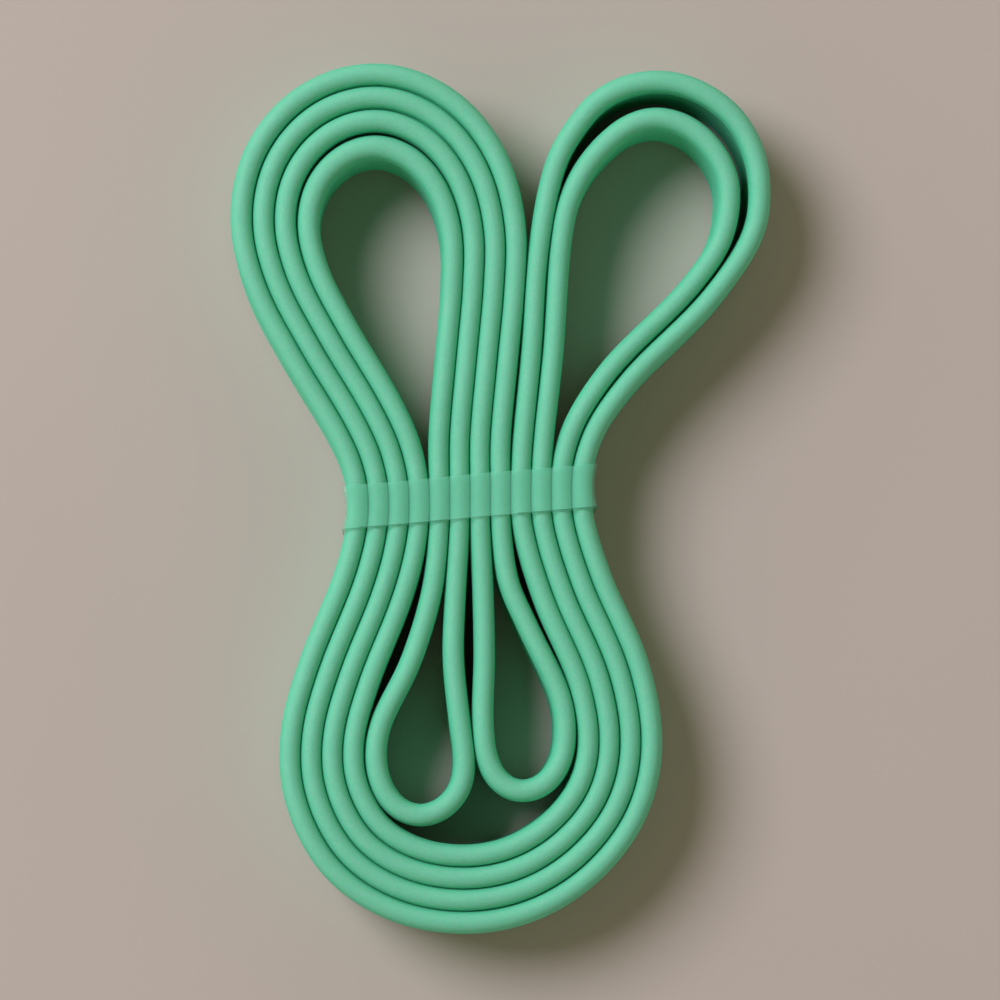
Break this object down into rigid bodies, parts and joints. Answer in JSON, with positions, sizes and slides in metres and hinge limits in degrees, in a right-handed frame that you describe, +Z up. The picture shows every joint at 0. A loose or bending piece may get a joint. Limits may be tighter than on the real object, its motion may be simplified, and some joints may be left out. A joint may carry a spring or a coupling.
{
  "type": "resistance band",
  "caption": "Closed-loop rubber resistance band folded flat into nested loops, standing on its edge, held at the waist by a thin clear film sleeve.",
  "frame": {"origin": "middle of the folded bundle's footprint, on the surface it stands on", "axes": "+Y from the waist towards the two long loops, +X towards the right long loop, +Z up across the band's width"},
  "size_m": [0.1048, 0.1685, 0.0216],
  "materials": {
    "green_rubber": "matte moulded rubber, faintly powdered",
    "clear_film": "thin clear packing film, slightly milky"
  },
  "bodies": {
    "folded_band": {"loop_band": "green_rubber"},
    "sleeve": {"clear_sleeve": "clear_film"}
  },
  "joints": [
    {"name": "sleeve_slide", "type": "slide", "parent": "folded_band", "child": "sleeve", "axis": [0, 1, 0], "range_m": [-0.0015, 0.0015]}
  ]
}
